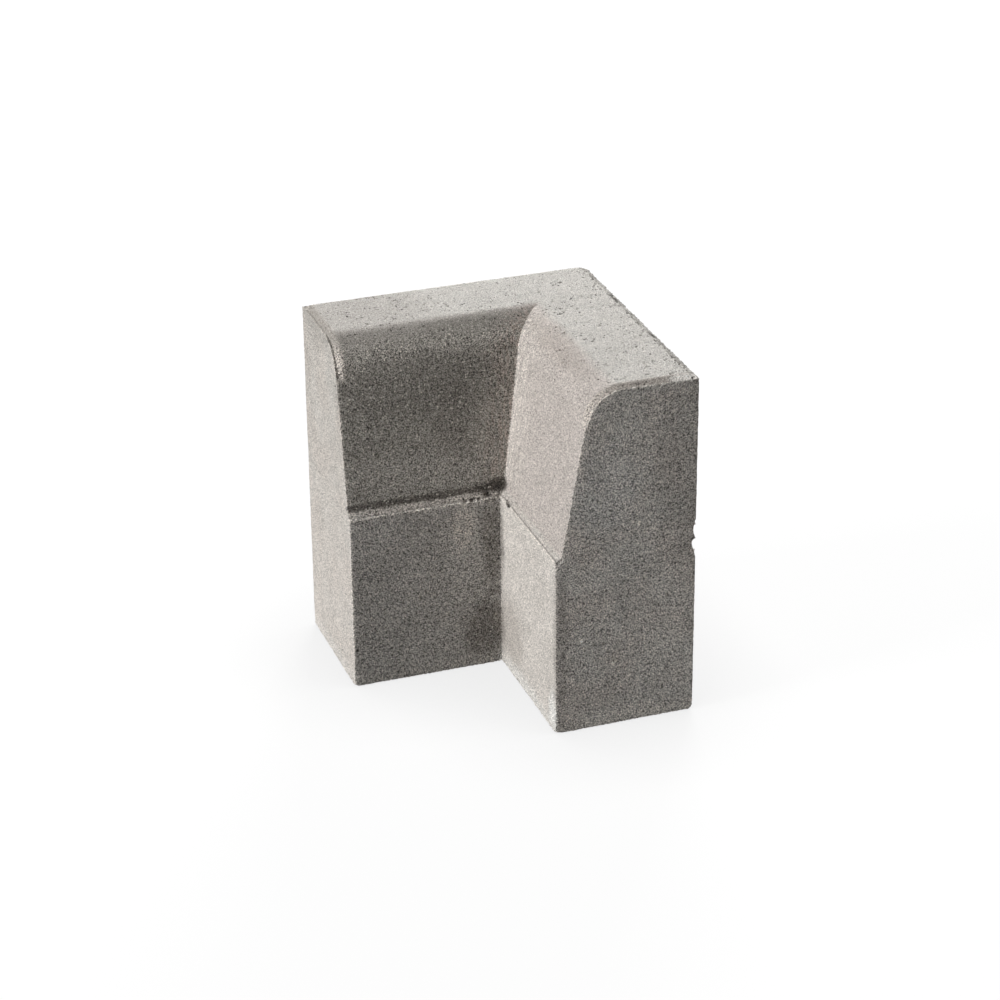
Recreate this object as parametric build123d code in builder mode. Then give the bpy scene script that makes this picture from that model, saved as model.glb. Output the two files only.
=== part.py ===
from build123d import *
import os

os.makedirs("parts", exist_ok=True)

# An inside corner kerb in pressed concrete: two equal legs of one kerb section meet at a right angle.
# Millimetres, +Z up, with the origin on the ground at the middle of the square that the legs enclose.

# The whole kerb
leg_length = 250.0  # outer length of each leg, from its free end to the outer corner
kerb_width = 120.0  # thickness of a leg at its foot
kerb_height = 300.0

# The road face: an upright foot, a small sloping ledge, then a battered face that rounds into the top
foot_height = 155.0
ledge_depth = 5.0
ledge_rise = 5.0
batter_setback = 25.0  # how far the battered face leans back by the time it reaches the top plane
shoulder_radius = 30.0

# The pressed rim: the press head leaves a flat bevel along the backs and round the free ends of the top
rim_run = 6.0  # in from the edge, along the top
rim_drop = 3.0  # down from the top
rim_corner_radius = 4.0  # rounding of the top's outer corner, inside the bevel

# Cuts run past the faces that they open by this much
overrun = 2.0

# Places in the section, measured across the leg from the middle of the footprint
back = leg_length / 2
front = back - kerb_width
ledge_back = front + ledge_depth
ledge_top = foot_height + ledge_rise
shoulder = ledge_back + batter_setback

# The left leg's free end, where its section is drawn, and the upright plane that mirrors it to the right
free_end = Plane.YZ.offset(-leg_length / 2)
corner_mitre = Plane(origin=(0, 0, 0), z_dir=(1, -1, 0))
outward = Axis((0, 0, 0), (1, 1, 0))

# The line of the press head's edge over the free end: up round the shoulder, then back along the top
with BuildLine(free_end) as press_line:
    FilletPolyline(
        (ledge_back, ledge_top),
        (shoulder, kerb_height),
        (back + overrun, kerb_height),
        radius=shoulder_radius,
    )
press_path = Wire(press_line.edges().sort_by(Axis.Z)[1:])

with BuildPart() as kerb_stone:
    # The left leg, run from its free end to the back of the right leg
    with BuildSketch(free_end) as section:
        with BuildLine():
            Polyline(
                (back, 0),
                (front, 0),
                (front, foot_height),
                (ledge_back, ledge_top),
                (shoulder, kerb_height),
                (back, kerb_height),
                close=True,
            )
        make_face()
        fillet(section.vertices().group_by(Axis.Y)[-1].sort_by(Axis.X)[0], shoulder_radius)
    extrude(amount=leg_length)

    # The right leg is its mirror image, so the two road faces meet in a mitred inside corner
    mirror(about=corner_mitre)

    # The outer corner is rounded, and the rim bevel runs along both backs and round it
    fillet(kerb_stone.edges().filter_by(Axis.Z).sort_by(outward)[-1], rim_corner_radius + rim_run)
    top = kerb_stone.faces().sort_by(Axis.Z)[-1]
    back_edges = [
        top.edges().filter_by(Axis.X).sort_by(Axis.Y)[-1],
        top.edges().filter_by(GeomType.CIRCLE)[0],
        top.edges().filter_by(Axis.Y).sort_by(Axis.X)[-1],
    ]
    chamfer(back_edges, length=rim_run, length2=rim_drop, reference=top)

    # Round the free ends the bevel follows the press line, and stops where the shoulder meets the batter
    rim_fall = rim_drop / rim_run
    with BuildSketch(Plane(origin=press_path @ 0, x_dir=free_end.z_dir, z_dir=press_path % 0)):
        with BuildLine():
            Polyline(
                (-overrun, rim_drop + overrun * rim_fall),
                (rim_run + overrun, -overrun * rim_fall),
                (-overrun, -overrun * rim_fall),
                close=True,
            )
        make_face()
    end_bevel = sweep(path=press_path, mode=Mode.PRIVATE)
    add(end_bevel, mode=Mode.SUBTRACT)
    mirror(end_bevel, about=corner_mitre, mode=Mode.SUBTRACT)

kerb_stone.part.label = "kerb_stone"
export_step(kerb_stone.part, "parts/kerb_stone.step")
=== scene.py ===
# %% [markdown]
# A corner kerb in pressed concrete: one block with an L-shaped plan, made by pressing a dry, sandy mix
# into a steel mould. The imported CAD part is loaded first, because it fixes the frame that everything
# else is measured in. The kerb seen in the picture is then modelled over it, with the crumbling arrises,
# pits and sandy skin that a CAD solid has no use for.

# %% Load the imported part
import math
import random

import bmesh
import bpy
import numpy as np
from mathutils import Matrix, Vector
from mathutils.kdtree import KDTree


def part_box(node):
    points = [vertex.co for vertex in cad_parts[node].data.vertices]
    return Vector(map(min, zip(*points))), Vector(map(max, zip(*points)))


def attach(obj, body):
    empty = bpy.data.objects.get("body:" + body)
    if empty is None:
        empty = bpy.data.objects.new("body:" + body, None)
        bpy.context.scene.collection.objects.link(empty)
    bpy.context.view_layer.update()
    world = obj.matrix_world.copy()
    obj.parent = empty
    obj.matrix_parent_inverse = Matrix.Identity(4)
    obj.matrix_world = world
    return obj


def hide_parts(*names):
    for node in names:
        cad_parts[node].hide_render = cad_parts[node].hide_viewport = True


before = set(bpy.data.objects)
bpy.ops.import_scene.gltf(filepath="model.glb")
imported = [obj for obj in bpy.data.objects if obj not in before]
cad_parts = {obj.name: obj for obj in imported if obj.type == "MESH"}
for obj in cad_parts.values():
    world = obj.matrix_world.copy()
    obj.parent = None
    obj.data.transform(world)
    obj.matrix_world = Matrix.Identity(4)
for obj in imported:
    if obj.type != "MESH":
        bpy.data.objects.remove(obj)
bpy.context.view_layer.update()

# %% [markdown]
# The real kerb is 300 mm tall and each leg is 250 mm long and 120 mm wide. Its road face has an upright
# foot, a narrow ledge, a face that leans back and a round shoulder. The outer sizes come from the loaded
# part and the section's own sizes are written down once, in metres, so every later step can use them.

# %% Sizes of the kerb
MM = 0.001
NEAR = 0.05 * MM
stone_low, stone_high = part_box("kerb_stone")
BACK = stone_high.y
HEIGHT = stone_high.z
LEG = stone_high.x - stone_low.x
WIDTH = 120 * MM
FRONT = BACK - WIDTH
FOOT = 155 * MM
LEDGE = 5 * MM
BATTER = 25 * MM
SHOULDER = 30 * MM
RIM_RUN = 6 * MM
RIM_DROP = 3 * MM
OUTER_CORNER = 10 * MM
print("leg %.0f mm, height %.0f mm, road face starts at %.0f mm" % (LEG / MM, HEIGHT / MM, FRONT / MM))

# %% [markdown]
# Modelling by hand means picking vertices, edges and faces and then using a tool on them. A script can't
# click, so one helper picks by place: it takes a test of x, y and z and selects whatever has all of its
# corners where the test is true. Everything is deselected first, because a tool acts on all that is selected.

# %% Pick by place
def at(value, place):
    """True where a coordinate lies on a plane of the block."""
    return abs(value - place) < NEAR


def pick(kind, test):
    """Selects the vertices, edges or faces of the piece being edited whose corners all pass the test."""
    bpy.context.tool_settings.mesh_select_mode = [kind == "VERT", kind == "EDGE", kind == "FACE"]
    bpy.ops.mesh.select_all(action="DESELECT")
    data = bpy.context.object.data
    mesh = bmesh.from_edit_mesh(data)
    found = 0
    for part in {"VERT": mesh.verts, "EDGE": mesh.edges, "FACE": mesh.faces}[kind]:
        corners = [part.co] if kind == "VERT" else [v.co for v in part.verts]
        if all(test(c.x, c.y, c.z) for c in corners):
            part.select_set(True)
            found += 1
    bmesh.update_edit_mesh(data)
    return found

# %% [markdown]
# The two legs are one section that turns a corner. A curve with a bevel profile could sweep it, but its
# inside corner would come out pinched. A cube for the corner with two faces pulled out gives the L at once,
# and the section is then cut into it, so both legs stay exact mirror images.

# %% Corner block and two legs
bpy.ops.object.select_all(action="DESELECT")
middle = (FRONT + BACK) / 2
bpy.ops.mesh.primitive_cube_add(
    size=1, location=(middle, middle, HEIGHT / 2), scale=(WIDTH, WIDTH, HEIGHT)
)
kerb = bpy.context.object
kerb.name = "pressed_kerb"
bpy.ops.object.transform_apply(location=True, rotation=True, scale=True)
bpy.ops.object.mode_set(mode="EDIT")
pick("FACE", lambda x, y, z: at(x, FRONT))
bpy.ops.mesh.extrude_region_move(TRANSFORM_OT_translate={"value": (WIDTH - LEG, 0, 0)})
pick("FACE", lambda x, y, z: at(y, FRONT) and x > FRONT - NEAR)
bpy.ops.mesh.extrude_region_move(TRANSFORM_OT_translate={"value": (0, WIDTH - LEG, 0)})
bpy.ops.mesh.select_all(action="SELECT")
bpy.ops.mesh.dissolve_limited(angle_limit=math.radians(1))
print("L block of", len(bmesh.from_edit_mesh(kerb.data).faces), "faces")

# %% [markdown]
# The road side of the mould has a small step and then leans back, so that the pressed block can be drawn out
# of it. By hand a loop cut would give the lines of the ledge. Two level bisects do the same and say in
# numbers where the lines run; everything above them is then pushed back, one leg in Y and the other in X.

# %% Ledge and leaning face
def lean_back(bottom, place, shift):
    """Moves the road faces back above a level, the left leg's in Y and the right leg's in X."""
    pick("VERT", lambda x, y, z: z > bottom - NEAR and at(y, place) and x < place + NEAR)
    bpy.ops.transform.translate(value=(0, shift, 0))
    pick("VERT", lambda x, y, z: z > bottom - NEAR and at(x, place) and y < place + shift + NEAR)
    bpy.ops.transform.translate(value=(shift, 0, 0))


for level in (FOOT, FOOT + LEDGE):
    bpy.ops.mesh.select_all(action="SELECT")
    bpy.ops.mesh.bisect(plane_co=(0, 0, level), plane_no=(0, 0, 1))
lean_back(FOOT + LEDGE, FRONT, LEDGE)
lean_back(HEIGHT, FRONT + LEDGE, BATTER)
TOP_FRONT = FRONT + LEDGE + BATTER
print("top edge of the road face stands back to %.0f mm" % (TOP_FRONT / MM))

# %% [markdown]
# A sharp top edge would break off under a wheel, so the shoulder is rounded to 30 mm and the outer corner to
# 10 mm. A subdivision surface would soften all that lies near it. The bevel tool rounds only the edges that
# are picked, with enough segments for the eye to read one curve.

# %% Round shoulder and outer corner
SHOULDER_STEPS = 12
CORNER_STEPS = 4
turn = math.pi / 2 - math.atan2(BATTER, HEIGHT - FOOT - LEDGE)
shoulder_reach = SHOULDER * math.tan(turn / 2)


def on_shoulder_line(x, y, z):
    """True on the sharp edge between the road faces and the top."""
    left = at(y, TOP_FRONT) and x < TOP_FRONT + NEAR
    right = at(x, TOP_FRONT) and y < TOP_FRONT + NEAR
    return at(z, HEIGHT) and (left or right)


pick("EDGE", on_shoulder_line)
bpy.ops.mesh.bevel(offset=shoulder_reach, segments=SHOULDER_STEPS, profile=0.5, affect="EDGES")
pick("EDGE", lambda x, y, z: at(x, BACK) and at(y, BACK))
bpy.ops.mesh.bevel(offset=OUTER_CORNER, segments=CORNER_STEPS, profile=0.5, affect="EDGES")
print("shoulder starts %.1f mm from the edge of the top" % (shoulder_reach / MM))

# %% [markdown]
# The bottom corners in front have been knocked round in handling, and the bottom edge is worn. A ball could
# be cut out of each corner, but that leaves a hollow bite. A vertex bevel takes the point away and leaves
# the round corner that wear gives. An edge bevel then breaks the sharp line along the ground.

# %% Worn bottom corners and edge
WORN_CORNER = 8 * MM
WORN_EDGE = 1.5 * MM
near_end = [(-BACK, FRONT), (BACK, -BACK), (FRONT, -BACK)]
worn = pick("VERT", lambda x, y, z: at(z, 0) and any(at(x, a) and at(y, b) for a, b in near_end))
bpy.ops.mesh.bevel(offset=WORN_CORNER, segments=CORNER_STEPS, profile=0.5, affect="VERTICES")
edges = pick("EDGE", lambda x, y, z: at(z, 0))
bpy.ops.mesh.bevel(offset=WORN_EDGE, segments=2, profile=0.5, affect="EDGES")
print("rounded", worn, "bottom corners and", edges, "bottom edges")

# %% [markdown]
# The press head leaves a flat bevel round the top, 6 mm wide and 3 mm deep. Along the backs the bevel tool
# makes it. The tool could be given two unequal widths, but an even bevel whose lower line is then lifted
# is easier to check: what moves is all at one level.

# %% Rim along the backs
CORNER_AXIS = BACK - OUTER_CORNER


def on_back_rim(x, y, z):
    """True on the top edge of the two backs and of the round outer corner."""
    away = math.hypot(max(x - CORNER_AXIS, 0), max(y - CORNER_AXIS, 0))
    return at(z, HEIGHT) and away > OUTER_CORNER - 0.3 * MM


pick("EDGE", on_back_rim)
bpy.ops.mesh.bevel(offset=RIM_RUN, segments=1, affect="EDGES")
lifted = pick("VERT", lambda x, y, z: at(z, HEIGHT - RIM_RUN))
bpy.ops.transform.translate(value=(0, 0, RIM_RUN - RIM_DROP))
print("lifted", lifted, "vertices of the rim's lower line")

# %% [markdown]
# Where two parts of the mould met, the mix was squeezed into a thin lip with a fine groove behind it. It
# runs along the edge of the ledge. A bevel can't make a narrow groove behind an edge, so the block is cut
# along the two sides of the groove and the lines are lowered, each by its own depth.

# %% Lip on the ledge
LIP = 1.2 * MM
LIP_DROP = 0.4 * MM
GROOVE = LIP + 0.1 * MM
GROOVE_DROP = 2.7 * MM


def cut_both_ways(place):
    """Cuts the block at the same distance in X and in Y, so both legs get the line."""
    for normal in ((1, 0, 0), (0, 1, 0)):
        bpy.ops.mesh.select_all(action="SELECT")
        bpy.ops.mesh.bisect(plane_co=[place * n for n in normal], plane_no=normal)


def lower_ledge(inset, drop):
    """Cuts a line into the ledge of both legs, at an inset from the foot, and lowers it."""
    place = FRONT + inset
    cut_both_ways(place)

    def on_line(x, y, z):
        left = at(y, place) and x < place + NEAR
        right = at(x, place) and y < place + NEAR
        return at(z, FOOT + inset) and (left or right)

    moved = pick("VERT", on_line)
    bpy.ops.transform.translate(value=(0, 0, -drop))
    print("ledge lowered by %.1f mm at %d vertices" % (drop / MM, moved))


lower_ledge(LIP, LIP_DROP)
lower_ledge(GROOVE, GROOVE_DROP)
lower_ledge(2 * LIP, GROOVE_DROP)

# %% [markdown]
# Round the free ends the rim follows the shoulder, and a bevel there would run far down the leaning face. So
# the block is cut across near its ends and the lines of the cuts are drawn in: scaled about the axis of the
# shoulder where it is round, and moved down where the top is flat. The lip and its groove come with them.

# %% Rim round the free ends
AXIS_OUT = TOP_FRONT + shoulder_reach
AXIS_UP = HEIGHT - SHOULDER
RUN_OUT = 268 * MM
BURR = 0.5 * MM
RIM_GROOVE = 1.2 * MM
bpy.ops.mesh.select_all(action="SELECT")
bpy.ops.mesh.bisect(plane_co=(0, 0, RUN_OUT), plane_no=(0, 0, 1))
for inset in (RIM_RUN, GROOVE, LIP):
    cut_both_ways(inset - BACK)


def lower_rim(inset, drop):
    """Draws in the line at an inset from the free ends, down on the top and inwards on the shoulder."""
    line = inset - BACK
    shrink = (SHOULDER - drop) / SHOULDER
    pick("VERT", lambda x, y, z: at(x, line) and y < AXIS_OUT - NEAR and z > RUN_OUT + NEAR)
    bpy.ops.transform.resize(value=(1, shrink, shrink), center_override=(line, AXIS_OUT, AXIS_UP))
    pick("VERT", lambda x, y, z: at(y, line) and x < AXIS_OUT - NEAR and z > RUN_OUT + NEAR)
    bpy.ops.transform.resize(value=(shrink, 1, shrink), center_override=(AXIS_OUT, line, AXIS_UP))
    pick("VERT", lambda x, y, z: at(z, HEIGHT) and (at(x, line) or at(y, line)))
    bpy.ops.transform.translate(value=(0, 0, -drop))


lower_rim(0, RIM_DROP - BURR)
lower_rim(LIP, RIM_DROP - BURR)
lower_rim(GROOVE, RIM_DROP + RIM_GROOVE)
print("rim drawn in by %.1f mm at the free ends" % (RIM_DROP / MM))

# %% [markdown]
# On the real kerb the arrises have lost more than the flat faces, so later steps need to know where they
# are. The block still has clean edges at this point: every edge that turns outwards by more than 20
# degrees is remembered as a line before the shape is made rough.

# %% Remember the arrises
ARRIS_TURN = math.radians(20)
mesh = bmesh.from_edit_mesh(kerb.data)
bmesh.ops.recalc_face_normals(mesh, faces=mesh.faces)
arrises = []
for edge in mesh.edges:
    if edge.is_convex and edge.calc_face_angle() > ARRIS_TURN:
        arrises.append([np.array(v.co) for v in edge.verts])
litres = mesh.calc_volume() / MM ** 3 / 1e6
closed = all(edge.is_manifold for edge in mesh.edges)
bpy.ops.object.mode_set(mode="OBJECT")
print(len(arrises), "arris lines; block of %.2f litres, closed: %s" % (litres, closed))

# %% [markdown]
# Chips, broken-out grains and worn corners are places where lumps came away. They could be sculpted, but a
# Boolean cut with a rough lump gives the same broken hollow and stays exact. One lump is modelled, an
# icosphere with its vertices pushed about, and each cut uses a copy at its own size, place and turn.

# %% A rough lump
def rough_lump(name, seed):
    """An icosphere of unit radius whose vertices are pushed about, as the start for every cut."""
    bpy.ops.object.select_all(action="DESELECT")
    bpy.ops.mesh.primitive_ico_sphere_add(subdivisions=2, radius=1)
    lump = bpy.context.object
    lump.name = name
    bpy.ops.object.mode_set(mode="EDIT")
    bpy.ops.mesh.select_all(action="SELECT")
    bpy.ops.transform.vertex_random(offset=0.35, uniform=0.2, normal=0.0, seed=seed)
    bpy.ops.object.mode_set(mode="OBJECT")
    return lump


first_lump = rough_lump("lump", 3)
print("lump of", len(first_lump.data.polygons), "faces")

# %% [markdown]
# Each copy of the lump has its own mesh, so all of them can be joined to one cutter and taken away in one go.
# Their places follow the photograph: a notch low on the right edge, holes in the lip of the ledge, crumbs
# along the rim and the back edge, two pits in the right end and a worn corner of the top. A row gives a
# place and the three radii of the lump there, in mm.

# %% Chips, holes and worn corners
def copies_of_lump(rows, name):
    """Copies the lump to each row's place and size, in mm, and joins the copies."""
    copies = []
    for number, (place, size) in enumerate(rows):
        bpy.ops.object.select_all(action="DESELECT")
        first_lump.select_set(True)
        bpy.context.view_layer.objects.active = first_lump
        bpy.ops.object.duplicate()
        lump = bpy.context.object
        lump.location = [p * MM for p in place]
        lump.scale = [s * MM for s in size]
        if min(size) == max(size):
            lump.rotation_euler = (number * 1.3, number * 0.7, number * 2.1)
        copies.append(lump)
    bpy.ops.object.select_all(action="DESELECT")
    for lump in copies:
        lump.select_set(True)
    bpy.context.view_layer.objects.active = copies[0]
    bpy.ops.object.join()
    joined = bpy.context.object
    joined.name = name
    bpy.ops.object.transform_apply(location=True, rotation=True, scale=True)
    return joined


chips = [
    ((127.5, -122.0, 164.5), (5.4, 11.0, 8.5)),
    ((127.0, -122.0, 152.5), (6.2, 11.0, 7.0)),
    ((-5.4, 7.2, 158.4), (3.6, 3.0, 2.6)),
    ((4.6, 5.2, 156.4), (2.2, 2.2, 1.8)),
    ((-25.0, 5.2, 156.0), (2.6, 2.4, 1.8)),
    ((-18.5, 5.2, 155.8), (3.4, 2.4, 1.9)),
    ((-13.0, 5.2, 155.8), (2.0, 2.0, 1.6)),
    ((6.4, -10.5, 156.0), (2.6, 6.0, 3.4)),
    ((7.0, -126.0, 156.5), (3.5, 3.0, 3.5)),
    ((126.0, -123.5, 158.5), (2.4, 5.0, 2.2)),
    ((126.2, -124.0, 171.5), (2.4, 6.0, 3.2)),
    ((126.4, -124.0, 145.0), (2.6, 6.0, 4.5)),
    ((58.0, -125.8, 297.0), (2.4, 2.0, 1.5)),
    ((66.0, -125.8, 296.8), (1.8, 2.0, 1.4)),
    ((74.8, -125.6, 297.4), (2.6, 2.2, 1.7)),
    ((83.0, -125.8, 297.0), (1.8, 1.8, 1.4)),
    ((91.5, -125.6, 296.8), (2.8, 2.2, 1.8)),
    ((104.0, -125.8, 297.2), (2.0, 1.8, 1.4)),
    ((42.0, -125.2, 292.5), (2.2, 2.4, 2.2)),
    ((37.0, -125.4, 286.5), (1.8, 2.2, 2.0)),
    ((31.5, -125.6, 277.0), (1.6, 2.0, 2.2)),
    ((28.0, -126.0, 262.0), (1.5, 2.0, 2.0)),
    ((123.0, 84.0, 299.6), (3.4, 2.2, 1.3)),
    ((122.6, 66.0, 299.6), (3.6, 2.6, 1.4)),
    ((122.4, 51.6, 299.4), (3.8, 3.2, 1.5)),
    ((122.2, 40.2, 299.4), (3.8, 3.0, 1.5)),
    ((123.0, 24.0, 299.6), (3.2, 2.2, 1.2)),
    ((122.6, 8.0, 299.6), (3.6, 2.6, 1.4)),
    ((122.6, -12.0, 299.4), (3.6, 3.0, 1.4)),
    ((122.8, -37.6, 299.4), (3.6, 3.6, 1.5)),
    ((123.0, -66.0, 299.6), (3.2, 2.4, 1.2)),
    ((123.0, -92.0, 299.6), (3.4, 3.0, 1.3)),
    ((55.6, -125.2, 59.0), (1.8, 1.6, 1.6)),
    ((28.0, -125.3, 78.5), (1.4, 1.2, 1.4)),
    ((127.5, -127.5, 300.0), (6.0, 6.0, 6.0)),
]
cutters = copies_of_lump(chips, "chips")
bpy.ops.object.select_all(action="DESELECT")
kerb.select_set(True)
bpy.context.view_layer.objects.active = kerb
cut = kerb.modifiers.new("broken away", "BOOLEAN")
cut.object = cutters
cut.operation = "DIFFERENCE"
cut.solver = "EXACT"
cut.use_self = True
bpy.ops.object.modifier_apply(modifier=cut.name)
bpy.data.objects.remove(cutters)
print(len(chips), "places broken away;", len(kerb.data.polygons), "faces")

# %% [markdown]
# The skin of the stone needs an even, fine mesh that can take pits and crumbs anywhere. Subdividing long
# faces would give slivers, so a voxel remesh lays a new net over the block, less than a millimetre wide.
# The finest grain is left to the material.

# %% A fine skin
NET = 0.7 * MM
skin = kerb.modifiers.new("fine skin", "REMESH")
skin.mode = "VOXEL"
skin.voxel_size = NET
bpy.ops.object.modifier_apply(modifier=skin.name)
print("skin of", len(kerb.data.vertices), "vertices")

# %% [markdown]
# Wear isn't even: an arris loses most. By hand this would be painted as weights in a vertex group, which
# tells a displacement how strongly it acts. Here three helpers do it: one reads the places of all vertices
# at once, one works out how near they are to a set of lines, and one stores the result as a group.

# %% Nearness and weights
WEIGHT_STEPS = 20


def places_of(piece):
    """The piece's vertices as an array of places."""
    flat = np.empty(len(piece.data.vertices) * 3)
    piece.data.vertices.foreach_get("co", flat)
    return flat.reshape(-1, 3)


def nearness(places, lines, reach):
    """1 on the nearest of the lines, falling to 0 at the reach."""
    best = np.full(len(places), reach)
    for start, end in lines:
        low = np.minimum(start, end) - reach
        high = np.maximum(start, end) + reach
        close = np.nonzero(np.all((places > low) & (places < high), axis=1))[0]
        run = end - start
        gap = places[close] - start
        share = np.clip(gap @ run / (run @ run), 0, 1)
        best[close] = np.minimum(best[close], np.linalg.norm(gap - share[:, None] * run, axis=1))
    return 1 - best / reach


def weigh(piece, name, weights):
    """Stores weights as a vertex group, in even steps."""
    group = piece.vertex_groups.new(name=name)
    steps = np.round(weights * WEIGHT_STEPS).astype(int)
    for step in range(1, WEIGHT_STEPS + 1):
        members = np.nonzero(steps == step)[0]
        if len(members):
            group.add(members.tolist(), step / WEIGHT_STEPS, "REPLACE")


places = places_of(kerb)
print("vertices from", (places.min(0) / MM).round(1), "to", (places.max(0) / MM).round(1), "mm")

# %% [markdown]
# On the real kerb the mould joints carry a burr, and the right leg's leaning arris, the bottom edge and the
# back rim crumble more than the rest. One even weight would wear all arrises alike, so the weight by the
# arrises is calmed where the stone is sound, and the joints get a narrow weight of their own.

# %% Weights along the arrises
ARRIS_REACH = 4 * MM
JOINT_REACH = 1.6 * MM
SPARED_REACH = 5 * MM


def on_mould_joint(place):
    """True on the lines where two parts of the mould met: the ledge's lip and the rim's outer edge."""
    x, y, z = place
    ledge_lip = FOOT - NEAR < z < FOOT + LIP and min(x, y) > FRONT - LEG
    end_rim = z > RUN_OUT + NEAR and min(x, y) < LIP + NEAR - BACK
    return ledge_lip or end_rim or at(z, HEIGHT - RIM_DROP)


joints = [line for line in arrises if on_mould_joint(line[0]) and on_mould_joint(line[1])]
arris_weight = nearness(places, arrises, ARRIS_REACH)
joint_weight = nearness(places, joints, JOINT_REACH)
bottom_edge = places[:, 2] < 8 * MM
right_lean = (places[:, 1] < 7 * MM - BACK) & (places[:, 0] < 45 * MM) & (places[:, 2] > FOOT)
calm = np.where(right_lean, 1.0, np.where(bottom_edge, 0.7, 0.4))
calm *= 1 - 0.75 * nearness(places, joints, SPARED_REACH)
back_rim = (places[:, 0] > BACK - 9 * MM) & (places[:, 2] > HEIGHT - 6 * MM)
calm[back_rim] = 1.0
weigh(kerb, "arris", arris_weight * calm)
weigh(kerb, "joint", joint_weight)
print(len(joints), "mould joints; %.0f%% of the skin lies by an arris" % (100 * np.mean(arris_weight > 0)))

# %% [markdown]
# Air caught at the face of the mould leaves small pits. They could be cut like the chips, but hundreds of
# Booleans are slow. A pit is a round patch of weight about a random vertex instead, found with a search
# tree, and the displacement of the next step sinks it.

# %% Pits
PITS = 520
PITS_ON_TOP = 120
random.seed(7)
tree = KDTree(len(places))
for index, place in enumerate(places):
    tree.insert(place, index)
tree.balance()
pit_weight = np.zeros(len(places))
top_skin = np.nonzero(places[:, 2] > HEIGHT - 0.8 * MM)[0]
for number in range(PITS):
    on_top = number < PITS_ON_TOP
    index = int(random.choice(top_skin)) if on_top else random.randrange(len(places))
    radius = random.uniform(0.8, 1.7) * MM
    depth = random.uniform(0.2, 0.6) if on_top else random.uniform(0.3, 1.0)
    for place, member, away in tree.find_range(places[index], radius):
        pit_weight[member] = max(pit_weight[member], depth * (1 - (away / radius) ** 2))
weigh(kerb, "pits", pit_weight)
print("pits touch", int(np.sum(pit_weight > 0)), "vertices")

# %% [markdown]
# Now the skin is moved. A Displace modifier pushes vertices along their normals by a cloud pattern. It takes
# less work than sculpting and gives the same result each time. The vertex groups keep the crumbling to the
# arrises and the burr to the mould joints, and slow waves keep the large faces from looking machined.

# %% Crumble, pits and waves
def wear(name, grain, strength, middle_level, group=""):
    """Displaces the skin along its normals, evenly or by a cloud pattern with grains of a size in mm."""
    change = kerb.modifiers.new(name, "DISPLACE")
    if grain:
        change.texture = bpy.data.textures.new(name, "CLOUDS")
        change.texture.noise_scale = grain * MM
        change.texture.noise_depth = 2
        change.texture_coords = "LOCAL"
    change.strength = strength * MM
    change.mid_level = middle_level
    change.vertex_group = group
    bpy.ops.object.modifier_apply(modifier=change.name)


wear("crumbling arris", 2.0, -2.6, 0.3, "arris")
wear("burr at the mould joint", 2.2, 2.4, 0.5, "joint")
wear("pits", 0, -1.5, 0.0, "pits")
wear("waves", 22.0, 0.5, 0.7)
wear("sandy skin", 2.0, 0.28, 0.7)
print("worn skin reaches from", [round(c / MM, 1) for c in places_of(kerb).min(0)])

# %% [markdown]
# The fine net has far more triangles than a flat face needs. Decimate takes them out where the skin is flat
# and keeps them at arrises and chips, which a second, coarser remesh wouldn't do. Smooth shading by angle
# then leaves the broken edges crisp.

# %% Thin the skin out
TRIANGLES = 192000
CRISP = math.radians(28)
thin = kerb.modifiers.new("thin out", "DECIMATE")
triangles = sum(len(p.vertices) - 2 for p in kerb.data.polygons)
thin.ratio = min(1, TRIANGLES / triangles)
thin.use_collapse_triangulate = True
bpy.ops.object.modifier_apply(modifier=thin.name)
bpy.ops.object.shade_smooth_by_angle(angle=CRISP)
bpy.data.objects.remove(first_lump)
print("skin thinned from", triangles, "to", len(kerb.data.polygons), "triangles")

# %% [markdown]
# The finish has to know the arrises too, because they are rubbed pale. A material can't read a vertex group,
# so the nearness is stored once more on the thinned skin, as an attribute that a node can read.

# %% Mark the arrises for the finish
places = places_of(kerb)
kerb.vertex_groups.clear()
for name, lines, reach in (("by_arris", arrises, 3.5), ("by_joint", joints, 2.2)):
    mark = kerb.data.attributes.new(name, "FLOAT", "POINT")
    mark.data.foreach_set("value", nearness(places, lines, reach * MM).astype(np.float32))
print("arris and joint marks on", len(places), "vertices")

# %% [markdown]
# The finish is pressed kerb concrete: grey cement paste with fine sand, a little warm in colour, and matt all
# over. A picture wrapped round the block would stretch at the corners, so the pattern is procedural and
# reads Object coordinates, turned to millimetres. One function turns a written colour to linear values
# and one adds a node with its settings and links.

# %% Colours and nodes
def linear(hex_colour):
    """An sRGB colour such as B4ADA6 as linear red, green, blue and alpha."""
    values = [int(hex_colour[i:i + 2], 16) / 255 for i in (0, 2, 4)]
    return [v / 12.92 if v <= 0.04045 else ((v + 0.055) / 1.055) ** 2.4 for v in values] + [1.0]


def add_node(tree, kind, inputs=None, out=0, **settings):
    """Adds a node with its settings, gives inputs a link, a written colour or a value, returns an output."""
    node = tree.nodes.new("ShaderNode" + kind)
    for name, value in settings.items():
        setattr(node, name, value)
    for name, value in (inputs or {}).items():
        if isinstance(value, bpy.types.NodeSocket):
            tree.links.new(value, node.inputs[name])
        else:
            node.inputs[name].default_value = linear(value) if isinstance(value, str) else value
    return node.outputs[out] if len(node.outputs) else None


concrete = bpy.data.materials.new("pressed kerb concrete")
concrete.use_nodes = True
nodes = concrete.node_tree
nodes.nodes.clear()
kerb.data.materials.clear()
kerb.data.materials.append(concrete)
print("material", concrete.name)

# %% [markdown]
# Many marks belong to one part of the kerb: the top, the leaning faces, the rim. Two lengths tell these apart
# on both legs at once. The larger of x and y says how far back from the road a point lies, and the smaller
# says how far it is from a free end. A Map Range node then turns a length into a mask between 0 and 1. The
# borders of the masks are counted from the levels and planes of the block, which are put in mm first.

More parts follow.
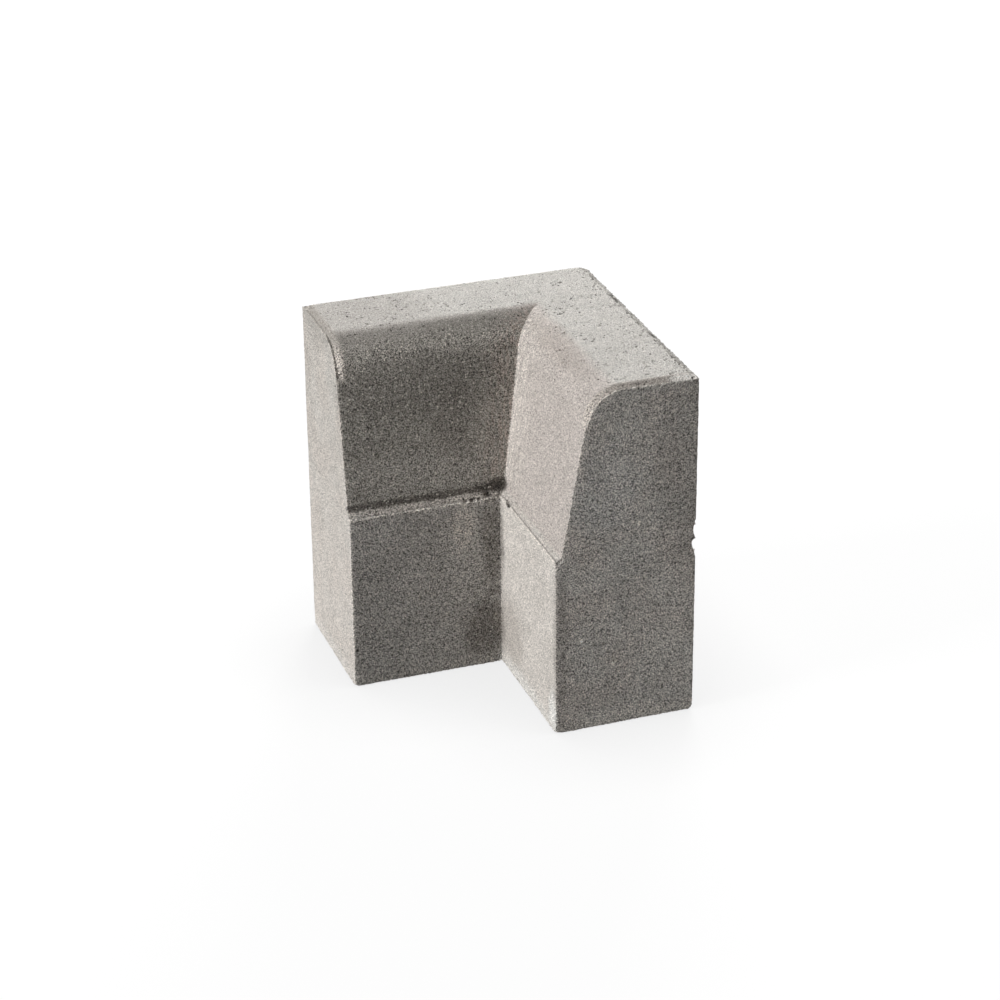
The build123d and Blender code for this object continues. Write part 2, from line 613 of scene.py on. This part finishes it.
# %% Places in millimetres
front_mm, back_mm, top_mm = FRONT / MM, BACK / MM, HEIGHT / MM
foot_mm, ledge_mm, run_out_mm = FOOT / MM, (FOOT + LEDGE) / MM, RUN_OUT / MM
spot = add_node(nodes, "TexCoord", out="Object")
spot = add_node(nodes, "VectorMath", {0: spot, "Scale": 1 / MM}, operation="SCALE")
x_mm = add_node(nodes, "SeparateXYZ", {0: spot}, out="X")
y_mm = add_node(nodes, "SeparateXYZ", {0: spot}, out="Y")
z_mm = add_node(nodes, "SeparateXYZ", {0: spot}, out="Z")
from_road = add_node(nodes, "Math", {0: x_mm, 1: y_mm}, operation="MAXIMUM")
nearer = add_node(nodes, "Math", {0: x_mm, 1: y_mm}, operation="MINIMUM")
from_end = add_node(nodes, "Math", {0: nearer, 1: back_mm}, operation="ADD")
off_end = add_node(nodes, "MapRange", {0: from_end, 1: 0.4, 2: 2.0}, interpolation_type="SMOOTHSTEP")
above_ledge = add_node(
    nodes, "MapRange", {0: z_mm, 1: foot_mm + 3, 2: ledge_mm + 1.5}, interpolation_type="SMOOTHSTEP"
)
road_side = add_node(
    nodes, "MapRange", {0: from_road, 1: front_mm + 57, 2: front_mm + 45}, interpolation_type="SMOOTHSTEP"
)
leaning = add_node(nodes, "Math", {0: above_ledge, 1: road_side}, operation="MULTIPLY")
leaning = add_node(nodes, "Math", {0: leaning, 1: off_end}, operation="MULTIPLY")
level = add_node(nodes, "MapRange", {0: z_mm, 1: top_mm - 16, 2: top_mm}, interpolation_type="SMOOTHSTEP")
by_back = add_node(
    nodes, "MapRange", {0: from_road, 1: back_mm - 13, 2: back_mm - 4}, interpolation_type="SMOOTHSTEP"
)
by_end = add_node(nodes, "MapRange", {0: from_end, 1: 9.5, 2: 7.0}, interpolation_type="SMOOTHSTEP")
rim_up = add_node(
    nodes, "MapRange", {0: z_mm, 1: run_out_mm - 2, 2: run_out_mm + 6}, interpolation_type="SMOOTHSTEP"
)
end_rim = add_node(nodes, "Math", {0: by_end, 1: rim_up}, operation="MULTIPLY")
end_rim = add_node(nodes, "Math", {0: end_rim, 1: off_end}, operation="MULTIPLY")
print("masks for the top, the leaning faces, the free ends and their rim")

# %% [markdown]
# Seen close, the stone is sand in cement paste, with a few coarse grains and small open pores. Voronoi cells
# make separate grains, each with a random value of its own, and noise makes soft clouds. Real sand is finer
# than the picture can show, so it is drawn as coarse as it needs to be, about half a millimetre.

# %% Sand, paste and pores
SAND_MM, GRAIN_MM, PORE_MM = 0.55, 1.6, 2.0
sand = add_node(nodes, "TexVoronoi", {"Vector": spot, "Scale": 1 / SAND_MM}, out="Distance")
sand_kind = add_node(nodes, "SeparateColor", {0: sand.node.outputs["Color"]})
grain = add_node(nodes, "TexVoronoi", {"Vector": spot, "Scale": 1 / GRAIN_MM}, out="Distance")
grain_kind = add_node(nodes, "SeparateColor", {0: grain.node.outputs["Color"]})
grain_size = add_node(nodes, "MapRange", {0: grain_kind, 1: 0.6, 2: 1.0, 3: 0.0, 4: 0.5})
grain = add_node(nodes, "Math", {0: grain_size, 1: grain}, operation="SUBTRACT")
grain = add_node(nodes, "MapRange", {0: grain, 1: 0.0, 2: 0.12})
fine = add_node(nodes, "TexNoise", {"Vector": spot, "Scale": 1 / 1.2, "Detail": 2.0, "Roughness": 0.6})
mottle = add_node(nodes, "TexNoise", {"Vector": spot, "Scale": 1 / 26, "Detail": 5.0, "Roughness": 0.62})
warmth = add_node(nodes, "TexNoise", {"Vector": spot, "Scale": 1 / 34, "Detail": 2.0, "Roughness": 0.5})
patches = add_node(nodes, "TexNoise", {"Vector": spot, "Scale": 1 / 12, "Detail": 3.0, "Roughness": 0.6})
back_edge = add_node(nodes, "Math", {0: by_back, 1: level}, operation="MULTIPLY")
clusters = add_node(nodes, "Math", {0: back_edge, 1: 0.2, 2: patches}, operation="MULTIPLY_ADD")
clusters = add_node(nodes, "MapRange", {0: clusters, 1: 0.47, 2: 0.58})
pore_spot = add_node(nodes, "TexVoronoi", {"Vector": spot, "Scale": 1 / PORE_MM}, out="Distance")
pore_kind = add_node(nodes, "SeparateColor", {0: pore_spot.node.outputs["Color"]})
pore_size = add_node(nodes, "MapRange", {0: pore_kind, 1: 0.3, 2: 1.0, 3: 0.0, 4: 0.4})
pore_size = add_node(nodes, "Math", {0: pore_size, 1: clusters}, operation="MULTIPLY")
open_top = add_node(nodes, "MapRange", {0: level, 3: 0.6, 4: 1.4})
pore_size = add_node(nodes, "Math", {0: pore_size, 1: open_top}, operation="MULTIPLY")
pore_depth = add_node(nodes, "Math", {0: pore_size, 1: pore_spot}, operation="SUBTRACT")
pore = add_node(nodes, "MapRange", {0: pore_depth, 1: 0.0, 2: 0.1})
print("sand of 0.55 mm, grains up to 1.4 mm and pores up to 2 mm wide on the top")

# %% [markdown]
# Paste dries paler against smooth steel and stays darker where it was damp, so each face has its own grey.
# The faces could have a material each, but then their borders would be hard. Here each Mix node lays a
# colour over the one before through a soft mask, from the widest area to the narrowest.

# %% Colour of the paste
left_leg = add_node(nodes, "Math", {0: y_mm, 1: x_mm}, operation="GREATER_THAN")
left_road = add_node(nodes, "Math", {0: left_leg, 1: off_end}, operation="MULTIPLY")
foot_side = add_node(nodes, "MapRange", {0: from_road, 1: front_mm + 3, 2: front_mm + 1})
foot_left = add_node(nodes, "Math", {0: left_road, 1: foot_side}, operation="MULTIPLY")
lean_left = add_node(nodes, "Math", {0: left_road, 1: leaning}, operation="MULTIPLY")
warm = add_node(nodes, "MapRange", {0: warmth, 1: 0.35, 2: 0.65})
colour = add_node(nodes, "Mix", {0: warm, 6: "BFBBB5", 7: "BFB8B1"}, 2, data_type="RGBA")
on_back = add_node(nodes, "MapRange", {0: from_road, 1: back_mm - 3.5, 2: back_mm - 1.5})
on_back = add_node(nodes, "Math", {0: on_back, 1: off_end}, operation="MULTIPLY")
colour = add_node(nodes, "Mix", {0: on_back, 6: colour, 7: "A39F99"}, 2, data_type="RGBA")
colour = add_node(nodes, "Mix", {0: level, 6: colour, 7: "BBB8B2"}, 2, data_type="RGBA")
colour = add_node(nodes, "Mix", {0: leaning, 6: colour, 7: "BFB7B1"}, 2, data_type="RGBA")
colour = add_node(nodes, "Mix", {0: lean_left, 6: colour, 7: "949089"}, 2, data_type="RGBA")
colour = add_node(nodes, "Mix", {0: foot_side, 6: colour, 7: "D6D0C9"}, 2, data_type="RGBA")
colour = add_node(nodes, "Mix", {0: foot_left, 6: colour, 7: "B1ADA8"}, 2, data_type="RGBA")
print("paste, duller on the backs and on the left leg's road face")

# %% [markdown]
# The rim, the ledge and the back edge were squeezed where the mould met, so their paste has a grey of its
# own. They are strips a few millimetres wide, and each is masked by the two lengths that bound it. Slow
# noise then dulls the whole surface in patches, because no face is one even grey.

# %% Colour of the rim and the ledge
colour = add_node(nodes, "Mix", {0: end_rim, 6: colour, 7: "C9C1B9"}, 2, data_type="RGBA")
ledge = add_node(nodes, "MapRange", {0: z_mm, 1: ledge_mm + 0.5, 2: ledge_mm - 0.5})
ledge = add_node(nodes, "Math", {0: ledge, 1: left_road}, operation="MULTIPLY")
past_foot = add_node(nodes, "MapRange", {0: from_road, 1: front_mm + 0.6, 2: front_mm + 1.4})
ledge = add_node(nodes, "Math", {0: ledge, 1: past_foot}, operation="MULTIPLY")
fore_part = add_node(nodes, "MapRange", {0: from_road, 1: front_mm + 7, 2: front_mm + 5.5})
ledge = add_node(nodes, "Math", {0: ledge, 1: fore_part}, operation="MULTIPLY")
colour = add_node(nodes, "Mix", {0: ledge, 6: colour, 7: "A8A29B"}, 2, data_type="RGBA")
pressed = add_node(nodes, "Math", {0: end_rim, 1: level}, operation="MULTIPLY")
pressed = add_node(nodes, "Math", {0: pressed, 1: 0.6}, operation="MULTIPLY")
colour = add_node(nodes, "Mix", {0: pressed, 6: colour, 7: "97918A"}, 2, data_type="RGBA")
back_rim = add_node(nodes, "MapRange", {0: from_road, 1: back_mm - 6.5, 2: back_mm - 4.5})
back_rim = add_node(nodes, "Math", {0: back_rim, 1: level}, operation="MULTIPLY")
crumbs = add_node(nodes, "MapRange", {0: patches, 1: 0.4, 2: 0.6, 3: 0.15, 4: 0.75})
crumbs = add_node(nodes, "Math", {0: crumbs, 1: back_rim}, operation="MULTIPLY")
colour = add_node(nodes, "Mix", {0: crumbs, 6: colour, 7: "7B766F"}, 2, data_type="RGBA")
dull = add_node(nodes, "MapRange", {0: mottle, 1: 0.35, 2: 0.65, 3: 0.2, 4: 0.0})
colour = add_node(nodes, "Mix", {0: dull, 6: colour, 7: "8A847E"}, 2, data_type="RGBA")
print("rim, ledge and back edge, and dull patches all over")

# %% [markdown]
# Arrises are rubbed pale in handling. The lip carries a broken, nearly white line of painted highlight, where
# the light catches it; only on the right leg's ledge is it faint. Both are thin lines, so they take their
# masks from the attributes on the mesh and not from lengths in space.

# %% Pale arrises and lip
by_arris = add_node(nodes, "Attribute", out="Fac", attribute_name="by_arris")
pale = add_node(nodes, "MapRange", {0: by_arris, 1: 0.6, 2: 1.0, 3: 0.0, 4: 0.3})
colour = add_node(nodes, "Mix", {0: pale, 6: colour, 7: "DAD2C8"}, 2, data_type="RGBA")
by_joint = add_node(nodes, "Attribute", out="Fac", attribute_name="by_joint")
# The pale line along the lip is painted highlight, strong on the left leg and faint on the right.
lip = add_node(nodes, "MapRange", {0: by_joint, 1: 0.4, 2: 0.8})
broken = add_node(nodes, "MapRange", {0: fine, 1: 0.4, 2: 0.58, 3: 0.25, 4: 0.95})
lip = add_node(nodes, "Math", {0: lip, 1: broken}, operation="MULTIPLY")
in_front = add_node(nodes, "MapRange", {0: by_back, 3: 1.0, 4: 0.25})
lip = add_node(nodes, "Math", {0: lip, 1: in_front}, operation="MULTIPLY")
highlight_side = add_node(nodes, "MapRange", {0: left_leg, 3: 0.15, 4: 1.0})
highlight_side = add_node(nodes, "Math", {0: highlight_side, 1: above_ledge}, operation="MAXIMUM")
lip = add_node(nodes, "Math", {0: lip, 1: highlight_side}, operation="MULTIPLY")
colour = add_node(nodes, "Mix", {0: lip, 6: colour, 7: "EFE8DF"}, 2, data_type="RGBA")
print("arrises rubbed pale, and a broken pale line on the lip")

# %% [markdown]
# Some marks have one place: a pale patch under the ledge, dust along the bottom, and painted shade by the
# inside corner, in the crease over the ledge and in holes and chips. They could be painted on by hand. Here
# each is a
# soft ball of colour with a ragged edge: a row gives its name, its centre and reach in millimetres, its
# colour and how strongly it covers.

# %% Smears, damp patches and dust
marks = [
    ("pale patch under the ledge", (-28, 5, 136), (13, 12, 28), "CFC8C0", 0.6),
    # Painted shade in the inside corner, darkening the left foot there.
    ("painted shade strip by the inside corner", (-2, 5, 118), (14, 12, 60), "77716B", 0.6),
    ("dark upper part of the left lean", (-50, 29, 255), (110, 22, 34), "74706A", 0.4),
    ("pale low part of the left lean", (-70, 16, 184), (90, 12, 24), "B0ABA5", 0.35),
    ("dark strip of the left lean", (-28, 22, 225), (22, 20, 60), "76716B", 0.4),
    # The right shoulder is painted pinker and duller: the paste's own tint, and painted shade where the top's
    # light falls away.
    ("pinker shoulder of the right leg with painted shade", (48, -20, 294), (18, 90, 12), "A0968D", 0.35),
    ("dull left end of the top", (-95, 85, 300), (90, 60, 30), "A39E98", 0.6),
    # Painted shade low on the left foot, by the inside corner.
    ("painted shade low on the left foot", (-10, 5, 34), (26, 12, 38), "6B655F", 0.65),
    # Painted shade in the crease over the ledge, darkest by the inside corner.
    ("painted shade band over the ledge", (4, 12, 163), (22, 9, 9), "45403B", 0.9),
    ("painted shade line over the ledge", (-60, 11, 162.5), (130, 6, 4), "4E4944", 0.75),
    # Painted shade low on the right foot, by the inside corner.
    ("painted shade low on the right foot", (5, -16, 40), (12, 42, 36), "A39B93", 0.45),
    ("dust on the bottom of the right foot", (3.5, -60, 0), (4, 110, 19), "E6E5E1", 0.6),
    ("bright dust by the right arris", (3.5, -122, 12), (4, 18, 32), "EFEEEA", 0.8),
    ("dust on the bottom of the left end", (-126.5, 65, 0), (4, 110, 19), "E6E6E3", 0.6),
    ("haze on the right end", (95, -125, 70), (24, 10, 30), "CCC7C0", 0.35),
    ("dark strip on the right end", (9, -125, 80), (9, 8, 100), "8C8680", 0.5),
    ("dark upper corner of the right end", (116, -125, 225), (32, 8, 110), "8C8680", 0.45),
    ("cool haze on the right end", (48, -125, 215), (34, 8, 50), "C3C3C2", 0.25),
    ("dust under the right end", (70, -125, 4), (44, 8, 14), "DED8D0", 0.5),
    ("pale upper part of the left foot", (-112, 5, 142), (40, 8, 26), "C8C4BF", 0.4),
    ("bright chip at the end of the rim", (114, -122.0, 298.6), (18, 6, 3.6), "F4F0EA", 0.9),
    # Painted shade in two chips of the back edge.
    ("chip with painted shade in the back edge", (121.5, 46, 299.4), (5, 13, 2.6), "4A4540", 0.6),
    ("second chip with painted shade in the back edge", (121.5, -37.6, 299.4), (5, 8, 2.6), "4A4540", 0.6),
    # The gap and the holes are painted nearly black: painted shade inside the chips cut there.
    ("gap with painted shade in the right ledge", (6.6, -10.5, 155.0), (2.8, 6.0, 3.4), "1E1B19", 1.0),
    ("hole with painted shade in the left lip", (-25, 5.6, 156), (2.6, 3.0, 1.8), "2B2724", 0.9),
    ("second hole with painted shade in the left lip", (-19.5, 5.6, 155.8), (3.0, 3.0, 1.9), "2B2724", 0.9),
    ("third hole with painted shade in the left lip", (-13.5, 5.6, 155.8), (2.0, 2.6, 1.6), "2B2724", 0.9),
    ("hole with painted shade in the left ledge", (-4.6, 8.4, 157.4), (3.0, 3.0, 2.4), "2B2724", 0.9),
    ("bare grain low on the right end", (27, -125, 82), (2.2, 3.0, 2.4), "F2ECE2", 1.0),
    ("bare grain below it", (29, -125, 75), (2.6, 3.0, 2.0), "F2ECE2", 1.0),
    ("bare grain by the pit", (54, -125, 57), (2.6, 3.0, 2.0), "EAE3D9", 0.9),
    ("bare grain by the middle", (76, -125, 179), (1.9, 3.0, 2.6), "EAE3D9", 0.9),
    ("bare grain beside it", (81, -125, 172), (2.2, 3.0, 2.0), "EAE3D9", 0.9),
]
for title, centre, reach, tone, strength in marks:
    gap = add_node(nodes, "VectorMath", {0: spot, 1: centre}, operation="SUBTRACT")
    gap = add_node(nodes, "VectorMath", {0: gap, 1: reach}, operation="DIVIDE")
    gap = add_node(nodes, "VectorMath", {0: gap}, out="Value", operation="LENGTH")
    gap = add_node(nodes, "Math", {0: patches, 1: -0.9, 2: gap}, operation="MULTIPLY_ADD")
    cover = add_node(
        nodes, "MapRange", {0: gap, 1: 0.6, 2: 0.0, 3: 0.0, 4: strength}, interpolation_type="SMOOTHSTEP"
    )
    colour = add_node(nodes, "Mix", {0: cover, 6: colour, 7: tone}, 2, data_type="RGBA", label=title)
print(len(marks), "marks")

# %% [markdown]
# Other marks follow the shape of the kerb: pale streaks beside the inside corner, a left end bleached towards
# the ground, dust above the ground and painted shade in the groove behind the lip. Noise that is stretched
# upwards makes the streaks, and lengths in space keep the others to their places.

# %% Streaks, bleaching, dust and painted shade in the groove
along = add_node(nodes, "VectorMath", {0: spot, 1: (1.0, 1.0, 0.04)}, operation="MULTIPLY")
streaks = add_node(nodes, "TexNoise", {"Vector": along, "Scale": 1 / 3, "Detail": 3.0, "Roughness": 0.6})
from_corner = add_node(nodes, "Math", {0: x_mm, 1: y_mm}, operation="SUBTRACT")
from_corner = add_node(nodes, "Math", {0: from_corner}, operation="ABSOLUTE")
corner_reach = add_node(nodes, "MapRange", {0: left_leg, 3: 56.0, 4: 34.0})
by_corner = add_node(nodes, "MapRange", {0: from_corner, 1: corner_reach, 2: 6.0})
by_corner = add_node(nodes, "Math", {0: by_corner, 1: leaning}, operation="MULTIPLY")
streaks = add_node(nodes, "MapRange", {0: streaks, 1: 0.42, 2: 0.58, 3: 0.0, 4: 0.8})
streaks = add_node(nodes, "Math", {0: streaks, 1: by_corner}, operation="MULTIPLY")
clear_of_band = add_node(nodes, "MapRange", {0: z_mm, 1: ledge_mm + 6, 2: ledge_mm + 14})
streaks = add_node(nodes, "Math", {0: streaks, 1: clear_of_band}, operation="MULTIPLY")
streak_tone = add_node(nodes, "Mix", {0: left_leg, 6: "D5CEC6", 7: "A3978F"}, 2, data_type="RGBA")
colour = add_node(nodes, "Mix", {0: streaks, 6: colour, 7: streak_tone}, 2, data_type="RGBA")
on_left_end = add_node(nodes, "MapRange", {0: x_mm, 1: 2 - back_mm, 2: 0.6 - back_mm})
bleached = add_node(nodes, "MapRange", {0: z_mm, 1: 260.0, 2: 30.0, 3: 0.0, 4: 0.6})
bleached = add_node(nodes, "Math", {0: bleached, 1: on_left_end}, operation="MULTIPLY")
colour = add_node(nodes, "Mix", {0: bleached, 6: colour, 7: "D6CFC8"}, 2, data_type="RGBA")
dust = add_node(nodes, "MapRange", {0: z_mm, 1: 14.0, 2: 0.0, 3: 0.0, 4: 0.35})
colour = add_node(nodes, "Mix", {0: dust, 6: colour, 7: "DED8D0"}, 2, data_type="RGBA")
# The groove behind the lip is painted dark, more on the right leg: painted shade of a crevice too narrow for
# the mesh to shade.
in_groove = add_node(nodes, "MapRange", {0: z_mm, 1: foot_mm + 1.8, 2: foot_mm + 1})
behind_lip = add_node(nodes, "MapRange", {0: from_road, 1: front_mm + 0.9, 2: front_mm + 1.3})
on_ledge = add_node(nodes, "MapRange", {0: from_road, 1: front_mm + 3.4, 2: front_mm + 2.4})
in_groove = add_node(nodes, "Math", {0: in_groove, 1: behind_lip}, operation="MULTIPLY")
in_groove = add_node(nodes, "Math", {0: in_groove, 1: on_ledge}, operation="MULTIPLY")
in_groove = add_node(nodes, "Math", {0: in_groove, 1: off_end}, operation="MULTIPLY")
over_foot = add_node(nodes, "MapRange", {0: z_mm, 1: foot_mm - 3, 2: foot_mm - 2.4})
in_groove = add_node(nodes, "Math", {0: in_groove, 1: over_foot}, operation="MULTIPLY")
painted_shade = add_node(nodes, "MapRange", {0: left_leg, 3: 0.55, 4: 0.25})
in_groove = add_node(nodes, "Math", {0: in_groove, 1: painted_shade}, operation="MULTIPLY")
colour = add_node(nodes, "Mix", {0: in_groove, 6: colour, 7: "3E3934"}, 2, data_type="RGBA")
print("streaks by the corner, a bleached left end, dust at the foot and dirt in the groove")

# %% [markdown]
# Grains show as lighter and darker specks. Mixing in one grey would vanish on some faces, so the specks
# multiply the colour that is there. The faces that look at the viewer get little light, and that at a grazing
# angle, so the light and shade of their grain is painted in: the specks are drawn stronger on them. The pores
# are painted dark, as painted shade in them. The top is calm between its groups of open pores, and the left
# end came off smooth steel and has faint pores.

# %% Colour of the sand and pores
facing = add_node(nodes, "SeparateXYZ", {0: add_node(nodes, "TexCoord", out="Normal")}, out="Y")
# Stronger specks where the faces look at the viewer: painted light and shade of the grain under grazing
# light.
grain_and_painted_light = add_node(nodes, "MapRange", {0: facing, 1: -0.3, 2: -0.8, 3: 0.75, 4: 1.3})
calm_top = add_node(nodes, "MapRange", {0: level, 3: 1.0, 4: 0.6})
grain_and_painted_light = add_node(nodes, "Math", {0: grain_and_painted_light, 1: calm_top}, operation="MULTIPLY")
speckle = add_node(nodes, "MapRange", {0: sand_kind, 3: -1.0, 4: 1.0})
speckle = add_node(nodes, "Math", {0: speckle, 1: grain_and_painted_light, 2: 1.0}, operation="MULTIPLY_ADD")
colour = add_node(nodes, "VectorMath", {0: colour, "Scale": speckle}, operation="SCALE")
bright = add_node(nodes, "Math", {0: grain, 1: grain_and_painted_light}, operation="MULTIPLY")
colour = add_node(nodes, "Mix", {0: bright, 6: colour, 7: "E2DCD2"}, 2, data_type="RGBA")
# The pores are painted dark: painted shade in them, fainter on the left end.
smooth_end = add_node(nodes, "MapRange", {0: on_left_end, 3: 1.0, 4: 0.75})
pore_shade = add_node(nodes, "Math", {0: pore, 1: smooth_end}, operation="MULTIPLY")
colour = add_node(nodes, "Mix", {0: pore_shade, 6: colour, 7: "403B37"}, 2, data_type="RGBA")
print("sand and pores")

# %% [markdown]
# A grain of sand stands up by less than the mesh can hold, so this last relief is a bump, which only bends
# the shading. Dry concrete has hardly any shine: it is rough, with the IOR of stone and a weak reflection.

# %% Relief of the grain and the shader
sand_height = add_node(nodes, "Math", {0: sand, 1: -0.55}, operation="MULTIPLY")
grain_height = add_node(nodes, "Math", {0: fine, 1: 0.45, 2: sand_height}, operation="MULTIPLY_ADD")
grain_height = add_node(nodes, "Math", {0: grain, 1: 0.25, 2: grain_height}, operation="MULTIPLY_ADD")
height = add_node(nodes, "Math", {0: pore, 1: -0.5, 2: grain_height}, operation="MULTIPLY_ADD")
relief = add_node(nodes, "Bump", {"Strength": 1.0, "Distance": 1 * MM, "Height": height})
shader = add_node(
    nodes,
    "BsdfPrincipled",
    {"Base Color": colour, "Roughness": 0.92, "IOR": 1.5, "Specular IOR Level": 0.25, "Normal": relief},
)
add_node(nodes, "OutputMaterial", {"Surface": shader})
print("material has", len(nodes.nodes), "nodes")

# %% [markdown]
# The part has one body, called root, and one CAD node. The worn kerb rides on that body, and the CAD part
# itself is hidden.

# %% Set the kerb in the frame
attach(kerb, "root")
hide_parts("kerb_stone")

# %% [markdown]
# The kerb stands on a plain white floor. A floor that is white to every ray would throw much light back at
# the kerb and wash out its dark faces. So rays from the camera, from a mirror or through glass see white
# with a soft shadow round the foot, and other rays find it grey.

# %% Floor
FLOOR_GAP = 0.3 * MM
SHADOW_REACH = 120 * MM
bpy.ops.object.select_all(action="DESELECT")
bpy.ops.mesh.primitive_plane_add(size=80, location=(0, 0, -FLOOR_GAP))
floor = bpy.context.object
floor.name = "floor"
bpy.ops.object.transform_apply(location=True)
floor_paint = bpy.data.materials.new("white floor paint")
floor_paint.use_nodes = True
floor_nodes = floor_paint.node_tree
floor_nodes.nodes.clear()
open_air = add_node(floor_nodes, "AmbientOcclusion", {"Distance": SHADOW_REACH}, out="AO", samples=3)
open_air = add_node(floor_nodes, "MapRange", {0: open_air, 1: 0.4, 2: 1.0, 3: 0.84, 4: 1.0})
white = add_node(floor_nodes, "Emission", {"Color": "FFFFFF", "Strength": open_air})
seen_white = add_node(floor_nodes, "BsdfDiffuse", {"Color": "F4F4F4"})
white = add_node(floor_nodes, "MixShader", {0: 0.94, 1: seen_white, 2: white})
grey = add_node(floor_nodes, "BsdfDiffuse", {"Color": "8C8C8C"})
seen = add_node(floor_nodes, "LightPath", out="Is Camera Ray")
for ray in ("Is Glossy Ray", "Is Transmission Ray"):
    also_seen = add_node(floor_nodes, "LightPath", out=ray)
    seen = add_node(floor_nodes, "Math", {0: seen, 1: also_seen}, operation="MAXIMUM")
blend = add_node(floor_nodes, "MixShader", {0: seen, 1: grey, 2: white})
add_node(floor_nodes, "OutputMaterial", {"Surface": blend})
floor.data.materials.append(floor_paint)
print("floor %.1f mm below the kerb" % (FLOOR_GAP / MM))

# %% [markdown]
# The light is soft studio light. A low panel behind the kerb lights its top, a panel on the left lights the
# faces that look left, and a weak one on the right keeps the near end from going black. The faces that look
# at the viewer are lit at a grazing angle, which brings out their grain.

# %% Light panels
def panel(name, direction, distance, size, power):
    """A square light panel that faces the middle of the kerb from a direction."""
    aim = Vector((0.02, 0.02, 0.15))
    data = bpy.data.lights.new(name, "AREA")
    data.shape = "SQUARE"
    data.size = size
    data.energy = power
    lamp = bpy.data.objects.new(name, data)
    bpy.context.scene.collection.objects.link(lamp)
    lamp.location = aim + Vector(direction).normalized() * distance
    lamp.rotation_euler = (aim - lamp.location).to_track_quat("-Z", "Y").to_euler()


panel("back panel", (0.42, 0.86, 0.31), 3.0, 1.1, 178)
panel("left panel", (-0.86, -0.07, 0.50), 5.0, 1.6, 300)
panel("right panel", (0.78, -0.55, 0.28), 3.0, 1.0, 22)
print("three panels")

# %% [markdown]
# Between the panels the studio is dim. An even, faint fill from the world stands for its walls and lifts the
# shadows, and the same rays that see the floor white see the world white, so both make one background. The
# Standard view shows a colour about as it is written.

# %% Even fill
studio = bpy.data.worlds.new("studio")
bpy.context.scene.world = studio
studio.use_nodes = True
sky = studio.node_tree
sky.nodes.clear()
sky_seen = add_node(sky, "LightPath", out="Is Camera Ray")
for ray in ("Is Glossy Ray", "Is Transmission Ray"):
    also_seen = add_node(sky, "LightPath", out=ray)
    sky_seen = add_node(sky, "Math", {0: sky_seen, 1: also_seen}, operation="MAXIMUM")
sky_fill = add_node(sky, "Background", {"Color": "FFFFFF", "Strength": 0.06})
sky_white = add_node(sky, "Background", {"Color": "FFFFFF", "Strength": 1.0})
sky_mix = add_node(sky, "MixShader", {0: sky_seen, 1: sky_fill, 2: sky_white})
add_node(sky, "OutputWorld", {"Surface": sky_mix})
bpy.context.scene.view_settings.view_transform = "Standard"
print("an even fill, and white behind the kerb")

# %% [markdown]
# The camera stands where the photograph was taken from: 19 degrees round to the left and 26 degrees above,
# about 2.6 m away through a long lens. The numbers were fitted to the kerb's straight edges, so the outlines
# lie on each other. It has no shift and no depth of field.

# %% Camera
YAW, PITCH, ROLL = 0.33436, 0.45699, -0.00974
STAND = (-0.73345, -2.11922, 1.25788)
eye = bpy.data.cameras.new("camera")
eye.sensor_width = 36
eye.lens = 109.51
camera = bpy.data.objects.new("camera", eye)
bpy.context.scene.collection.objects.link(camera)
turned = Matrix.Rotation(-YAW, 4, "Z") @ Matrix.Rotation(math.pi / 2 - PITCH, 4, "X")
turned = turned @ Matrix.Rotation(ROLL, 4, "Z")
camera.matrix_world = Matrix.Translation(STAND) @ turned
bpy.context.scene.camera = camera
print("camera at", [round(c, 3) for c in camera.location])
